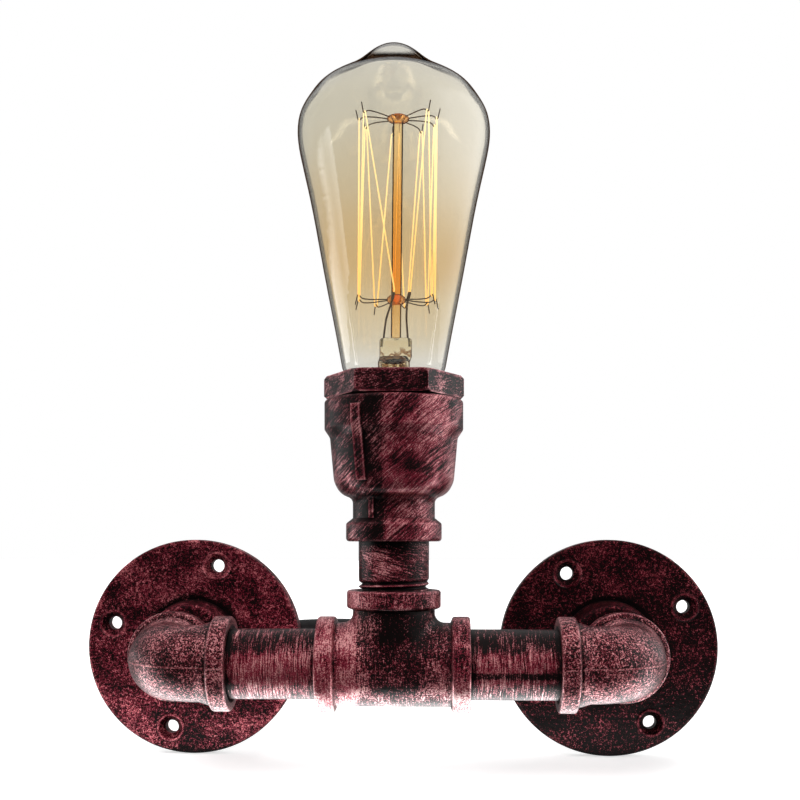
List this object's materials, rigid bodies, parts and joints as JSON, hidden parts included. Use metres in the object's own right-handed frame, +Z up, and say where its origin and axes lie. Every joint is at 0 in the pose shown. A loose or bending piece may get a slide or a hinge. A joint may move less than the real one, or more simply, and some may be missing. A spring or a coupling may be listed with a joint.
{
  "type": "wall light",
  "caption": "Wall light of threaded pipe fittings: wall flanges carry a pipe run whose tee holds a riser, a reducing socket with the lampholder and an upright clear filament bulb.",
  "frame": {"origin": "on the wall plane, midway between the two wall flanges, at the height of the pipe run", "axes": "+Z up, along the bulb; -Y out from the wall; +X to the viewer's right"},
  "size_m": [0.2198, 0.1186, 0.2249],
  "materials": {
    "flange_cast": "mottled",
    "fitting_cast": "brushed",
    "pipe_painted": "brushed",
    "bulb_glass": "gloss",
    "mount_glass": "gloss",
    "filament": "satin",
    "mount_wire": "satin",
    "cap_metal": "satin",
    "cap_insulator": "gloss",
    "contact_brass": "satin",
    "contact_spring": "satin",
    "holder_ceramic": "matt",
    "gasket_fibre": "matt",
    "cable_sheath": "matt",
    "core_brown": "satin",
    "core_blue": "satin",
    "core_green": "satin",
    "conductor": "satin"
  },
  "bodies": {
    "root": {"wall_flange_left": "flange_cast", "wall_flange_right": "flange_cast", "flange_nipple_left": "pipe_painted", "flange_nipple_right": "pipe_painted", "elbow_left": "fitting_cast", "elbow_right": "fitting_cast", "pipe_left": "pipe_painted", "pipe_right": "pipe_painted", "tee": "fitting_cast", "riser_nipple": "pipe_painted", "reducing_socket": "fitting_cast", "hex_bushing": "fitting_cast", "holder_gasket": "gasket_fibre", "holder_body": "holder_ceramic", "screw_shell": "contact_brass", "contact_spring": "contact_spring", "live_terminal": "contact_brass", "neutral_terminal": "contact_brass", "earth_ring": "contact_brass", "supply_cable": "cable_sheath", "core_live": "core_brown", "core_neutral": "core_blue", "core_earth": "core_green", "conductor_ends": "conductor", "supply_tail": "cable_sheath", "tail_core_live": "core_brown", "tail_core_neutral": "core_blue", "tail_core_earth": "core_green", "tail_conductors": "conductor"},
    "contact": {"centre_contact": "contact_brass"},
    "bulb_lift": {"tip_contact": "cap_metal"},
    "bulb": {"cap_insulator": "cap_insulator", "bulb_cap": "cap_metal", "bulb_glass": "bulb_glass", "glass_stem": "mount_glass", "support_rod": "mount_glass", "lower_bead": "mount_glass", "upper_bead": "mount_glass", "upper_supports": "mount_wire", "lower_supports": "mount_wire", "lead_wires": "mount_wire", "filament": "filament"}
  },
  "joints": [
    {"name": "contact_press", "type": "slide", "parent": "root", "child": "contact", "axis": [0, 0, 1], "range_m": [-0.001, 0], "stiffness_N_per_m": 1500, "springref_m": 0.0015, "deforming": ["contact_spring"]},
    {"name": "bulb_lift", "type": "slide", "parent": "root", "child": "bulb_lift", "axis": [0, 0, 1], "range_m": [0, 0.0109]},
    {"name": "bulb_turn", "type": "hinge", "parent": "bulb_lift", "child": "bulb", "pos_m": [0, -0.055, 0.0735], "axis": [0, 0, 1], "range_deg": [0, 1080]}
  ],
  "couplings": [
    {"joint": "bulb_lift", "follows": "bulb_turn", "m_per_rad": 0.00057757}
  ]
}
